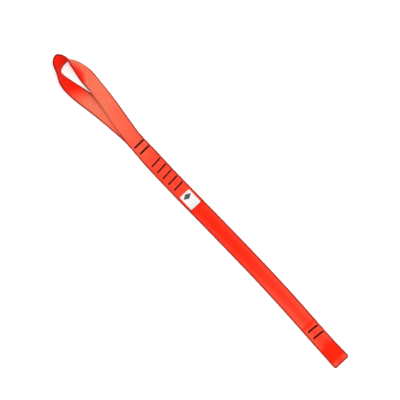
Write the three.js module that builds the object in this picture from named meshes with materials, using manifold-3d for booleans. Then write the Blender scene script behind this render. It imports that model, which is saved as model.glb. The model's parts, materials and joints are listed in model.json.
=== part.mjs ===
// A short lifting sling sewn from one ring of flat webbing, lying on a level surface.
//
// Millimetres. +X runs along the strap from the big eye to the small eye, +Y across the webbing, +Z up. The origin
// is in the middle of the footprint, on the surface that the sling lies on. The webbing is two plies thick. Its two
// ends overlap at the splice, next to the big eye, and bar tacks sew the plies together.

import * as THREE from 'three';
import { mergeVertices } from 'three/addons/utils/BufferGeometryUtils.js';
import Module from 'manifold-3d';

const wasm = await Module();
wasm.setup();

// Webbing
const WEBBING_WIDTH = 26;
const NECK_WIDTH = 24;
const EYE_END_WIDTH = 27;
const PLY = 2.2;
const PLY_GAP = 0.3;
const LEVEL = PLY + PLY_GAP;
const BACK_Z = PLY / 2;
const FRONT_Z = BACK_Z + LEVEL;
const TOP_Z = FRONT_Z + LEVEL;

// Stations along the strap
const EYE_TWIST_X = -137;
const NECK_BEND_X = -104;
const LAP_END_X = -95.7;
const TOP_END_X = -4.3;
const UPPER_BEND_X = 12;
const MIDDLE_BEND_X = 112;
const LOWER_BEND_X = 214;
const EYE_BEND_X = 264;
const SMALL_EYE_END_X = 301;

// A bending joint's far side starts this far from its axis, so that it can turn a right angle and stay clear.
const BEND_GAP = 3.2;
const TWIST_GAP = 0.3;

// Bar tacks: places along the strap, and one tack's size
const NECK_TACKS = [-125.3, -113.7];
const SPLICE_TACKS = [-89.4, -77.8, -66.2, -54.6, -43];
const TAIL_TACKS = [236.9, 248.7];
const TACK_LENGTH = 18;
const TACK_WIDTH = 3.4;
const TACK_OFFSET_Y = 1.2;
const TACK_PROUD = 0.4;
const TACK_RECESS = 0.2;
const SLOT_CLEARANCE = 0.3;

// Label
const LABEL_LENGTH = 24.6;
const LABEL_WIDTH = 18;
const LABEL_THICKNESS = 0.6;
const LABEL_X = -17.4;
const LABEL_CORNER = 1.6;
const STITCH_WIDTH = 0.7;
const STITCH_INSET = 1.4;
const MARK_LENGTH = 8.4;
const MARK_SPREAD = 14.4;
const MARK_X = -23.4;
const PRINT_THICKNESS = 0.2;

// Small eye: the front ply rises to this outer height and turns down to the back ply
const SMALL_EYE_HEIGHT = 11;

const WEBBING = { color: 0xf23a1c, roughness: 0.72, metalness: 0 };
const THREAD = { color: 0x2a0508, roughness: 0.6, metalness: 0 };
const LABEL = { color: 0xf0efec, roughness: 0.8, metalness: 0 };
const LABEL_THREAD = { color: 0xd8d4cc, roughness: 0.7, metalness: 0 };
const INK = { color: 0x2b2b30, roughness: 0.6, metalness: 0 };

const sling = new THREE.Group();

function addMesh(name, geometry, finish) {
  const mesh = new THREE.Mesh(geometry, new THREE.MeshStandardMaterial(finish));
  mesh.name = name;
  sling.add(mesh);
}

function closedGeometry(geometry) {
  const bare = geometry.clone();
  bare.deleteAttribute('normal');
  bare.deleteAttribute('uv');
  return mergeVertices(bare, 1e-4);
}

function toSolid(geometry) {
  const closed = closedGeometry(geometry);
  const vertProperties = new Float32Array(closed.attributes.position.array);
  const triVerts = new Uint32Array(closed.index.array);
  return new wasm.Manifold(new wasm.Mesh({ numProp: 3, vertProperties, triVerts }));
}

function toGeometry(solid) {
  const { vertProperties, triVerts } = solid.getMesh();
  const geometry = new THREE.BufferGeometry();
  geometry.setAttribute('position', new THREE.BufferAttribute(vertProperties, 3));
  geometry.setIndex(new THREE.BufferAttribute(triVerts, 1));
  return geometry;
}

// The strap lies in a slight sideways bow.
const bowLine = new THREE.SplineCurve([
  new THREE.Vector2(-140, 0.9),
  new THREE.Vector2(-75, -0.2),
  new THREE.Vector2(0, 0.8),
  new THREE.Vector2(70, 2),
  new THREE.Vector2(140, 2.5),
  new THREE.Vector2(204, 1.5),
  new THREE.Vector2(256, -0.1),
  new THREE.Vector2(302, -0.6),
]);
const bowPoints = bowLine.getPoints(120);

function bowAt(x) {
  const after = Math.max(1, bowPoints.findIndex((point) => point.x > x));
  const from = bowPoints[after - 1];
  const to = bowPoints[after];
  return THREE.MathUtils.mapLinear(x, from.x, to.x, from.y, to.y);
}

// The webbing is gathered to a narrower width at the neck and spread at the small eye's end.
function widthAt(x) {
  const gather = THREE.MathUtils.smoothstep(x, -132, -95);
  const spread = THREE.MathUtils.smoothstep(x, 275, SMALL_EYE_END_X);
  const width = THREE.MathUtils.lerp(NECK_WIDTH, WEBBING_WIDTH, gather);
  return THREE.MathUtils.lerp(width, EYE_END_WIDTH, spread);
}

// A ply that lies flat from one station to another. heightAt gives its middle's height at each station.
function flatPly(fromX, toX, heightAt) {
  const length = toX - fromX;
  const geometry = new THREE.BoxGeometry(length, 1, PLY, Math.ceil(length / 6), 2, 1);
  const position = geometry.attributes.position;
  for (let i = 0; i < position.count; i += 1) {
    const x = fromX + length / 2 + position.getX(i);
    const y = bowAt(x) + position.getY(i) * widthAt(x);
    position.setXYZ(i, x, y, heightAt(x) + position.getZ(i));
  }
  return geometry;
}

function barShape(length, width) {
  const r = width / 2;
  const half = length / 2 - r;
  const shape = new THREE.Shape();
  shape.absarc(0, half, r, 0, Math.PI, false);
  shape.absarc(0, -half, r, Math.PI, 2 * Math.PI, false);
  shape.closePath();
  return shape;
}

// One bar tack, or with a clearance the slot that it leaves in the webbing.
function tackGeometry(x, bottom, top, clearance = 0) {
  const shape = barShape(TACK_LENGTH + 2 * clearance, TACK_WIDTH + 2 * clearance);
  const settings = { depth: top - bottom, bevelEnabled: false, curveSegments: 6 };
  const geometry = new THREE.ExtrudeGeometry(shape, settings);
  geometry.translate(x, bowAt(x) + TACK_OFFSET_Y, bottom);
  return geometry;
}

function withSlots(ply, tacks) {
  let solid = toSolid(ply);
  for (const x of tacks) {
    solid = solid.subtract(toSolid(tackGeometry(x, -1, TOP_Z + PLY, SLOT_CLEARANCE)));
  }
  return toGeometry(solid);
}

function addPly(name, fromX, toX, heightAt, tacks = []) {
  const ply = flatPly(fromX, toX, heightAt);
  addMesh(name, tacks.length ? withSlots(ply, tacks) : closedGeometry(ply), WEBBING);
}

function addTacks(places, firstNumber, top) {
  places.forEach((x, i) => {
    const geometry = tackGeometry(x, TACK_RECESS, top + TACK_PROUD);
    addMesh(`bar_tack_${firstNumber + i}`, closedGeometry(geometry), THREAD);
  });
}

const onBack = () => BACK_Z;
const onFront = () => FRONT_Z;

// A closed band along matched stations on its lower and upper edges.
function band(stations, columns) {
  const spans = stations.length - 1;
  const geometry = new THREE.BoxGeometry(spans, 1, PLY, spans, columns, 1);
  const position = geometry.attributes.position;
  const middles = stations.map(({ lower, upper }) => lower.clone().lerp(upper, 0.5));
  const point = new THREE.Vector3();
  for (let i = 0; i < position.count; i += 1) {
    const at = Math.round(position.getX(i) + spans / 2);
    const { lower, upper } = stations[at];
    const along = middles[Math.min(at + 1, spans)].clone().sub(middles[Math.max(at - 1, 0)]);
    const across = upper.clone().sub(lower);
    const normal = along.cross(across).normalize();
    point.copy(lower).addScaledVector(across, position.getY(i) + 0.5);
    point.addScaledVector(normal, position.getZ(i));
    position.setXYZ(i, point.x, point.y, point.z);
  }
  return closedGeometry(geometry);
}

// ---------------------------------------------------------------- big eye
// The loop's two edges: from the back ply at the neck, round the tip, to the front ply at the neck. Both legs lie flat
// at the neck and roll on the way out, so that the tip stands on the lower edge. The two edges are the webbing's width
// apart: 24 where it is gathered near the neck, and 26 round the tip.
const LOWER_EDGE = [
  [EYE_TWIST_X - TWIST_GAP, 12.9, BACK_Z],
  [-164, 10.6, BACK_Z],
  [-196, 6.2, 1.2],
  [-228.6, 0.2, 1.2],
  [-250, -4.9, 1],
  [-266, -8.8, 0.7],
  [-275.6, -9.8, 0.45],
  [-279.4, -5.2, 0.7],
  [-281.1, 0.4, 0.9],
  [-281.2, 5.8, 0.75],
  [-280, 11.2, 0.45],
  [-274, 16.8, 0.55],
  [-263, 21.3, 0.8],
  [-248, 24, 1.05],
  [-228, 23, 1.15],
  [-198, 20.6, 1.4],
  [-164, 16.2, 3.2],
  [EYE_TWIST_X - TWIST_GAP, 12.9, FRONT_Z],
];
const UPPER_EDGE = [
  [EYE_TWIST_X - TWIST_GAP, -11.1, BACK_Z],
  [-164, -13.6, BACK_Z],
  [-196, -17.2, 5],
  [-228.6, -22.4, 9.9],
  [-250, -24, 17],
  [-266, -21.4, 22.9],
  [-279.6, -14.3, 25.4],
  [-292.4, -9.2, 22.7],
  [-299, 0.4, 19.7],
  [-295.2, 6.6, 22.6],
  [-286.6, 9.8, 25.5],
  [-275, 7.6, 24.7],
  [-263.5, 5.4, 21],
  [-248, 2.4, 13.6],
  [-228, 1.6, 10.6],
  [-198, -1.9, 6.8],
  [-164, -7.4, 4.6],
  [EYE_TWIST_X - TWIST_GAP, -11.1, FRONT_Z],
];
const EYE_SPANS = 84;
const EYE_COLUMNS = 4;

function bigEyeStations() {
  const edgeThrough = (places) => {
    const points = places.map((p) => new THREE.Vector3(...p));
    return new THREE.CatmullRomCurve3(points, false, 'catmullrom', 0.5).getPoints(EYE_SPANS);
  };
  const lower = edgeThrough(LOWER_EDGE);
  const upper = edgeThrough(UPPER_EDGE);
  return lower.map((point, i) => ({ lower: point, upper: upper[i] }));
}

addMesh('big_eye_loop', band(bigEyeStations(), EYE_COLUMNS), WEBBING);

// ---------------------------------------------------------------- neck
const NECK_END_X = NECK_BEND_X - BEND_GAP;
addPly('neck_back_ply', EYE_TWIST_X + TWIST_GAP, NECK_END_X, onBack, NECK_TACKS);
addPly('neck_front_ply', EYE_TWIST_X + TWIST_GAP, NECK_END_X, onFront, NECK_TACKS);
addTacks(NECK_TACKS, 1, FRONT_Z + PLY / 2);

// ---------------------------------------------------------------- splice
// The strip's top end lies over its lap end, and steps down past it to meet the neck.
const topHeight = (x) => THREE.MathUtils.lerp(FRONT_Z, TOP_Z, THREE.MathUtils.smoothstep(x, -103, -96.4));
addPly('splice_back_ply', NECK_BEND_X, UPPER_BEND_X, onBack, SPLICE_TACKS);
addPly('splice_lap_ply', LAP_END_X, UPPER_BEND_X, onFront, SPLICE_TACKS);
addPly('splice_front_ply', NECK_BEND_X, TOP_END_X, topHeight, SPLICE_TACKS);
addTacks(SPLICE_TACKS, NECK_TACKS.length + 1, TOP_Z + PLY / 2);

// ---------------------------------------------------------------- label
const LABEL_BOTTOM = TOP_Z + PLY / 2 + PLY_GAP;
const LABEL_TOP = LABEL_BOTTOM + LABEL_THICKNESS;

function labelShape() {
  const x = LABEL_LENGTH / 2 - LABEL_CORNER;
  const y = LABEL_WIDTH / 2 - LABEL_CORNER;
  const shape = new THREE.Shape();
  shape.absarc(x, y, LABEL_CORNER, 0, Math.PI / 2, false);
  shape.absarc(-x, y, LABEL_CORNER, Math.PI / 2, Math.PI, false);
  shape.absarc(-x, -y, LABEL_CORNER, Math.PI, 1.5 * Math.PI, false);
  shape.absarc(x, -y, LABEL_CORNER, 1.5 * Math.PI, 2 * Math.PI, false);
  shape.closePath();
  return shape;
}

function plate(shape, x, bottom, depth) {
  const geometry = new THREE.ExtrudeGeometry(shape, { depth, bevelEnabled: false, curveSegments: 5 });
  geometry.translate(x, bowAt(x), bottom);
  return closedGeometry(geometry);
}

// A plain lozenge, printed near the end that faces the big eye
function markShape() {
  const shape = new THREE.Shape();
  shape.moveTo(MARK_LENGTH / 2, 0);
  shape.lineTo(0, MARK_SPREAD / 2);
  shape.lineTo(-MARK_LENGTH / 2, 0);
  shape.lineTo(0, -MARK_SPREAD / 2);
  shape.closePath();
  return shape;
}

addMesh('label', plate(labelShape(), LABEL_X, LABEL_BOTTOM, LABEL_THICKNESS), LABEL);
addMesh('label_mark', plate(markShape(), MARK_X, LABEL_TOP + PLY_GAP, PRINT_THICKNESS), INK);
[1, -1].forEach((side, i) => {
  const shape = barShape(LABEL_WIDTH - 2 * STITCH_INSET, STITCH_WIDTH);
  const x = LABEL_X + side * (LABEL_LENGTH / 2 - STITCH_INSET);
  addMesh(`label_stitching_${i + 1}`, plate(shape, x, LABEL_TOP + PLY_GAP, PRINT_THICKNESS), LABEL_THREAD);
});

// ---------------------------------------------------------------- strap
const UPPER_START_X = UPPER_BEND_X + BEND_GAP;
addPly('strap_upper_back_ply', UPPER_START_X, MIDDLE_BEND_X, onBack);
addPly('strap_upper_front_ply', UPPER_START_X, MIDDLE_BEND_X, onFront);

const LOWER_START_X = MIDDLE_BEND_X + BEND_GAP;
addPly('strap_lower_back_ply', LOWER_START_X, LOWER_BEND_X, onBack);
addPly('strap_lower_front_ply', LOWER_START_X, LOWER_BEND_X, onFront);

// ---------------------------------------------------------------- tail
const TAIL_START_X = LOWER_BEND_X + BEND_GAP;
addPly('tail_back_ply', TAIL_START_X, EYE_BEND_X, onBack, TAIL_TACKS);
addPly('tail_front_ply', TAIL_START_X, EYE_BEND_X, onFront, TAIL_TACKS);
addTacks(TAIL_TACKS, NECK_TACKS.length + SPLICE_TACKS.length + 1, FRONT_Z + PLY / 2);

// ---------------------------------------------------------------- small eye
// The back ply runs on to a half turn at the end, and the front ply comes back over it and down to the tail.
const EYE_START_X = EYE_BEND_X + BEND_GAP;
const TURN_RADIUS = (SMALL_EYE_HEIGHT - PLY) / 2;
const TURN_X = SMALL_EYE_END_X - PLY / 2 - TURN_RADIUS;
const TURN_STEPS = 12;
const LEG_STEPS = 10;

function smallEyeLine() {
  const line = [];
  for (let i = 0; i < LEG_STEPS; i += 1) {
    line.push([THREE.MathUtils.lerp(EYE_START_X, TURN_X, i / LEG_STEPS), BACK_Z]);
  }
  for (let i = 0; i <= TURN_STEPS; i += 1) {
    const angle = Math.PI * (i / TURN_STEPS - 0.5);
    const z = BACK_Z + TURN_RADIUS * (1 + Math.sin(angle));
    line.push([TURN_X + TURN_RADIUS * Math.cos(angle), z]);
  }
  for (let i = 1; i <= LEG_STEPS; i += 1) {
    const x = THREE.MathUtils.lerp(TURN_X, EYE_START_X, i / LEG_STEPS);
    const rise = THREE.MathUtils.smoothstep(x, EYE_START_X, TURN_X - 8);
    line.push([x, THREE.MathUtils.lerp(FRONT_Z, BACK_Z + 2 * TURN_RADIUS, rise)]);
  }
  return line;
}

const smallEyeStations = smallEyeLine().map(([x, z]) => ({
  lower: new THREE.Vector3(x, bowAt(x) + widthAt(x) / 2, z),
  upper: new THREE.Vector3(x, bowAt(x) - widthAt(x) / 2, z),
}));
addMesh('small_eye_loop', band(smallEyeStations, 2), WEBBING);

export default sling;
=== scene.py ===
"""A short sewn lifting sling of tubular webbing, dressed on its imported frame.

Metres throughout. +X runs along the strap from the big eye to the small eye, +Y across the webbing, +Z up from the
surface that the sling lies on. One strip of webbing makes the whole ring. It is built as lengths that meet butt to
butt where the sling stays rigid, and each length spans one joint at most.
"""

import json
import logging
import math
from collections.abc import Callable, Sequence
from dataclasses import dataclass, field
from enum import Enum

import bpy
import numpy as np
from mathutils import Matrix, Vector


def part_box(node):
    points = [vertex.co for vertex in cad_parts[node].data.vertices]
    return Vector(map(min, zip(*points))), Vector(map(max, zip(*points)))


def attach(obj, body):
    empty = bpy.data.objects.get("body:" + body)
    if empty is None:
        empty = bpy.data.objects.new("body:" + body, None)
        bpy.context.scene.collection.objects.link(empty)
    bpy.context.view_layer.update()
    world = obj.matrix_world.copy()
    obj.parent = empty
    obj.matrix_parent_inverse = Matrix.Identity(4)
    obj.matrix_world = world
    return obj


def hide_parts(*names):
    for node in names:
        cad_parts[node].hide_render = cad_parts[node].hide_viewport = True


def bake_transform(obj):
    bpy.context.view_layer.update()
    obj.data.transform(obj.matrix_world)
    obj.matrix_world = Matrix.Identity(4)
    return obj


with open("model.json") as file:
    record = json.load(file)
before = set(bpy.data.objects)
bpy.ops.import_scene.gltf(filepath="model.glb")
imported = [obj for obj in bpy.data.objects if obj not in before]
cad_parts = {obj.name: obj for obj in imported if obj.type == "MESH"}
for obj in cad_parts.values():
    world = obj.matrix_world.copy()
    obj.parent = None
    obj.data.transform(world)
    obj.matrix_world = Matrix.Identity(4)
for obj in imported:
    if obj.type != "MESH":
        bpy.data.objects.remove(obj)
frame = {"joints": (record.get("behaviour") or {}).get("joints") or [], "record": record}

log = logging.getLogger("sling")
MM = 0.001
Array = np.ndarray


# ---------------------------------------------------------------- small sums


def smoothstep(x: Array | float, low: float, high: float) -> Array:
    """Rises from 0 at low to 1 at high, level at both: 3 t^2 - 2 t^3."""
    t = np.clip((np.asarray(x, float) - low) / (high - low), 0.0, 1.0)
    return t * t * (3.0 - 2.0 * t)


def bump(x: Array | float, centre: float, spread: float) -> Array:
    """A bell of height 1: exp(-((x - centre) / spread)^2)."""
    return np.exp(-(((np.asarray(x, float) - centre) / spread) ** 2))


def unit(vectors: Array) -> Array:
    """Rows scaled to length 1."""
    return vectors / np.maximum(np.linalg.norm(vectors, axis=-1, keepdims=True), 1e-12)


def spline(points: Sequence[Sequence[float]], count: int) -> Array:
    """A natural cubic spline through points, one unit of parameter from each point to the next.

    The second derivatives m solve m[i-1] + 4 m[i] + m[i+1] = 6 (p[i-1] - 2 p[i] + p[i+1]). At both ends m is 0.

    Args:
        points: the points that the curve passes through, in order.
        count: how many points to return, evenly spaced in the parameter.

    Returns:
        An array of count rows.
    """
    p = np.asarray(points, float)
    n = len(p)
    system = np.eye(n)
    for i in range(1, n - 1):
        system[i, i - 1 : i + 2] = (1.0, 4.0, 1.0)
    right = np.zeros_like(p)
    right[1:-1] = 6.0 * (p[:-2] - 2.0 * p[1:-1] + p[2:])
    m = np.linalg.solve(system, right)
    t = np.linspace(0.0, n - 1.0, count)
    i = np.minimum(t.astype(int), n - 2)
    b = (t - i)[:, None]
    a = 1.0 - b
    return a * p[i] + b * p[i + 1] + ((a**3 - a) * m[i] + (b**3 - b) * m[i + 1]) / 6.0


def arc_length(line: Array) -> Array:
    """The distance along a line of points, from its first point."""
    return np.concatenate([[0.0], np.cumsum(np.linalg.norm(np.diff(line, axis=0), axis=1))])


def even(line: Array, *others: Array, step: float) -> list[Array]:
    """The lines resampled together, at equal steps of the first one's length."""
    length = arc_length(line)
    at = np.linspace(0.0, length[-1], max(2, int(round(length[-1] / step)) + 1))
    return [np.stack([np.interp(at, length, column) for column in each.T], axis=1) for each in (line, *others)]


# ---------------------------------------------------------------- meshes


@dataclass(frozen=True)
class Cloth:
    """The make of a flat woven strip.

    Attributes:
        thickness: through the cloth.
        ribs: how many lengthwise ribs there are across it.
        rib_depth: how far a rib stands above the groove beside it.
        edge_steps: points round each rounded edge.
        rib_steps: points across each rib.
    """

    thickness: float
    ribs: int
    rib_depth: float
    edge_steps: int = 8
    rib_steps: int = 4


@dataclass
class Band:
    """A closed strip between two matched edges, as arrays ready to become a mesh.

    Attributes:
        lower: one edge's points, one row for each station.
        upper: the other edge's points.
        cloth: the make of the strip.
        start: the length along the sling's strip at the first station.
        shift: gives how far the strip's middle is moved up, from arrays of x and y.
        pinch: gives the share of its thickness that the strip keeps, from arrays of x and y.
        painted_sheen: gives the share of painted sheen, a paler colour that stands in for the light's gleam, from
            arrays of x and y.
        crease_shade: gives how much painted shade darkens the cloth at a fold or a crease, from arrays of x and y.
        less_edge_shade: gives how much of the painted shade along the edges is taken away, from arrays of x and y.
        cuts: which of its two ends are cut and sealed, the first and the last.
    """

    lower: Array
    upper: Array
    cloth: Cloth
    start: float = 0.0
    painted_sheen: Callable[[Array, Array], Array] | None = None
    crease_shade: Callable[[Array, Array], Array] | None = None
    less_edge_shade: Callable[[Array, Array], Array] | None = None
    cuts: tuple[bool, bool] = (False, False)
    shift: Callable[[Array, Array], Array] | None = None
    pinch: Callable[[Array, Array], Array] | None = None

    def section(self, width: float) -> tuple[Array, Array]:
        """Works out the cross-section, from one edge over the face and back under it.

        Both faces are level between two half rounds, and the ribs are a cosine across them.

        Args:
            width: the strip's mean width.

        Returns:
            Places across the strip, from -0.5 to 0.5, and heights over its middle in metres.
        """
        r = self.cloth.thickness / 2.0
        half = width / 2.0
        ribs = self.cloth.ribs
        turn = np.linspace(math.pi, math.pi / 2.0, self.cloth.edge_steps, endpoint=False)
        across = np.linspace(-(half - r), half - r, ribs * self.cloth.rib_steps + 1)
        phase = math.pi * ribs * (across / (half - r) + 1.0)
        wave = 0.5 * self.cloth.rib_depth * (1.0 - np.cos(phase))
        left_y = -(half - r) + r * np.cos(turn)
        left_z = r * np.sin(turn)
        top_y = np.concatenate([left_y, across, -left_y[::-1]])
        top_z = np.concatenate([left_z, r + wave, left_z[::-1]])
        y = np.concatenate([top_y, top_y[-2:0:-1]])
        z = np.concatenate([top_z, -top_z[-2:0:-1]])
        return y / width, z

    def mean_width(self) -> float:
        """The strip's width, averaged over its stations."""
        return float(np.linalg.norm(self.upper - self.lower, axis=1).mean())

    def length(self) -> float:
        """The strip's length along its middle."""
        return float(arc_length((self.lower + self.upper) / 2.0)[-1])

    def points(self) -> tuple[Array, Array, Array]:
        """Sets the section at each station, square to the strip's line.

        Returns:
            The points as stations x section x 3, the length along the strip, and the way round the section.
        """
        middle = (self.lower + self.upper) / 2.0
        across = self.upper - self.lower
        normal = unit(np.cross(np.gradient(middle, axis=0), across))
        width = self.mean_width()
        share, height = self.section(width)
        flat = middle[:, None, :] + share[None, :, None] * across[:, None, :]
        x, y = flat[..., 0], flat[..., 1]
        keep = np.ones_like(x) if self.pinch is None else self.pinch(x, y)
        made = flat + normal[:, None, :] * (height[None, :] * keep)[..., None]
        if self.shift is not None:
            made[..., 2] += self.shift(x, y)
        way_round = arc_length(np.stack([share * width, height, 0.0 * height], axis=1))
        return made, self.start + arc_length(middle), way_round

    def build(self, name: str) -> bpy.types.Object:
        """Makes the mesh object: side faces, a cap of quads at each end, the strip's UV map and crisp cap edges.

        Args:
            name: the piece's name.

        Returns:
            The new object, linked to the scene.
        """
        points, along, way_round = self.points()
        width = self.mean_width()
        stations, around = points.shape[:2]
        index = np.arange(stations * around).reshape(stations, around)
        ahead = np.roll(index, -1, axis=1)
        sides = np.stack([index[:-1], ahead[:-1], ahead[1:], index[1:]], axis=-1).reshape(-1, 4)
        closing = float(np.linalg.norm(points[0, 0] - points[0, -1]))
        v_low = np.broadcast_to(way_round, (stations - 1, around))
        v_high = np.broadcast_to(np.append(way_round[1:], way_round[-1] + closing), (stations - 1, around))
        u_low = np.broadcast_to(along[:-1, None], (stations - 1, around))
        u_high = np.broadcast_to(along[1:, None], (stations - 1, around))
        u = np.stack([u_low, u_low, u_high, u_high], axis=-1).reshape(-1)
        v = np.stack([v_low, v_high, v_high, v_low], axis=-1).reshape(-1)
        caps = self._cap(index[0])[:, ::-1].tolist() + self._cap(index[-1]).tolist()
        faces = sides.tolist() + [[k for n, k in enumerate(f) if k not in f[:n]] for f in caps]
        flat = points.reshape(-1, 3)
        first = flat[sides[:, 0]]
        swept = np.cross(flat[sides[:, 1]] - first, flat[sides[:, 2]] - first)
        if float(((first - flat.mean(0)) * swept).sum()) < 0.0:
            faces = [face[::-1] for face in faces]
            u = u.reshape(-1, 4)[:, ::-1].reshape(-1)
            v = v.reshape(-1, 4)[:, ::-1].reshape(-1)
        mesh = bpy.data.meshes.new(name)
        mesh.from_pydata(flat.tolist(), [], faces)
        loops = np.zeros((len(mesh.loops), 2), np.float32)
        loops[: len(u), 0] = u
        loops[: len(v), 1] = v
        mesh.uv_layers.new(name="strip").data.foreach_set("uv", loops.ravel())
        mesh.polygons.foreach_set("use_smooth", np.ones(len(mesh.polygons), bool))
        share = np.broadcast_to(self.section(width)[0], (stations, around))
        # Painted shade: the edges darken where their rounding turns away from the light, and at folds and creases.
        edge = smoothstep(np.abs(share), 0.375, 0.465)
        if self.less_edge_shade is not None:
            edge = edge * (1.0 - self.less_edge_shade(points[..., 0], points[..., 1]))
        if self.crease_shade is not None:
            edge = np.maximum(edge, self.crease_shade(points[..., 0], points[..., 1]))
        self._mark(mesh, "edge_shade", edge)
        # Painted sheen: a paler colour where the cloth would catch the light.
        if self.painted_sheen is not None:
            self._mark(mesh, "painted_sheen", self.painted_sheen(points[..., 0], points[..., 1]))
        self._mark(mesh, "sealed", self._sealed(along)[:, None] * np.ones_like(share))
        self._sharpen(mesh, around, stations)
        return link(name, mesh)

    def _sealed(self, along: Array) -> Array:
        """How much of the cloth is melted by the hot cut, at each station: 1 at a cut end, gone 2 mm in."""
        melted = np.zeros(len(along))
        if self.cuts[0]:
            melted = np.maximum(melted, 1.0 - smoothstep(along - along[0], 0.2 * MM, 1.8 * MM))
        if self.cuts[1]:
            melted = np.maximum(melted, 1.0 - smoothstep(along[-1] - along, 0.2 * MM, 1.8 * MM))
        return melted

    @staticmethod
    def _mark(mesh: bpy.types.Mesh, name: str, values: Array) -> None:
        """Stores one number at each point of a mesh, for its material to read."""
        layer = mesh.attributes.new(name, "FLOAT", "POINT")
        layer.data.foreach_set("value", np.ascontiguousarray(values, np.float32).ravel())

    @staticmethod
    def _cap(ring: Array) -> Array:
        """Quads across one end: each point of the upper face joined to the one under it."""
        half = len(ring) // 2
        k = np.arange(half)
        return np.stack([ring[k], ring[k + 1], ring[-(k + 1)], ring[-k]], axis=1)

    @staticmethod
    def _sharpen(mesh: bpy.types.Mesh, around: int, stations: int) -> None:
        """Marks the edges round both ends sharp, so that the caps don't tilt the sides' shading."""
        pairs = np.zeros(len(mesh.edges) * 2, np.int32)
        mesh.edges.foreach_get("vertices", pairs)
        a, b = pairs.reshape(-1, 2).T
        last = (stations - 1) * around
        gap = np.abs(a - b)
        same_end = ((a < around) & (b < around)) | ((a >= last) & (b >= last))
        mesh.edges.foreach_set("use_edge_sharp", same_end & ((gap == 1) | (gap == around - 1)))


def link(name: str, mesh: bpy.types.Mesh) -> bpy.types.Object:
    """Makes an object of a mesh and links it to the scene."""
    made = bpy.data.objects.new(name, mesh)
    bpy.context.scene.collection.objects.link(made)
    return made


# ---------------------------------------------------------------- the lie of the sling


def span(node: str) -> tuple[Vector, Vector, Vector]:
    """A CAD node's box: its low corner, its middle and its high corner."""
    low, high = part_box(node)
    return low, (low + high) / 2.0, high


def joint_place(name: str) -> Vector:
    """A point on a joint's axis."""
    return Vector(next(j["pos_m"] for j in frame["joints"] if j["name"] == name))


class Level(Enum):
    """Which layer of webbing a ply lies in, counted from the surface up."""

    BACK = 0
    MIDDLE = 1
    TOP = 2


@dataclass(frozen=True)
class Tack:
    """One bar tack's place.

    Attributes:
        number: its number, counted from the big eye.
        body: the body that it rides on.
        x: its place along the strap.
        y: the middle of its length, across the strap.
        length: across the strap.
        width: along the strap.
        plies: how many layers it goes through.
        slant: how far its +Y end leans towards the big eye.
    """

    number: int
    body: str
    x: float
    y: float
    length: float
    width: float
    plies: int
    slant: float

    def share(self, x: Array, y: Array, spread: float) -> Array:
        """How strongly the tack grips at x and y: 1 on its line, fading to each side and past its ends."""
        along = bump(x, self.x - self.lean(y - self.y), spread)
        reach = self.length / 2.0
        return along * (1.0 - smoothstep(np.abs(y - self.y), reach - 0.5 * MM, reach + 3.5 * MM))

    def lean(self, y: Array) -> Array:
        """How far the bar's line is towards the big eye at y, measured from its middle: most at its +Y end."""
        t = np.clip(y / self.length + 0.5, 0.0, 1.0)
        return self.slant * (t**2 - 0.3)


def find_tacks() -> list[Tack]:
    """Reads the bar tacks' places from their CAD nodes."""
    plies = {"neck": 2, "splice": 3, "tail": 2}
    slants = {"neck": 0.2 * MM, "splice": 1.3 * MM, "tail": -1.5 * MM}
    found = []
    bodies = frame["record"]["behaviour"]["bodies"]
    for body, nodes in bodies.items():
        for node in (n for n in nodes if n.startswith("bar_tack_")):
            low, middle, high = span(node)
            found.append(
                Tack(
                    number=int(node.rsplit("_", 1)[1]),
                    body=body,
                    x=middle.x,
                    y=middle.y,
                    length=high.y - low.y,
                    width=high.x - low.x,
                    plies=plies[body],
                    slant=slants[body],
                )
            )
    return sorted(found, key=lambda tack: tack.number)


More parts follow.
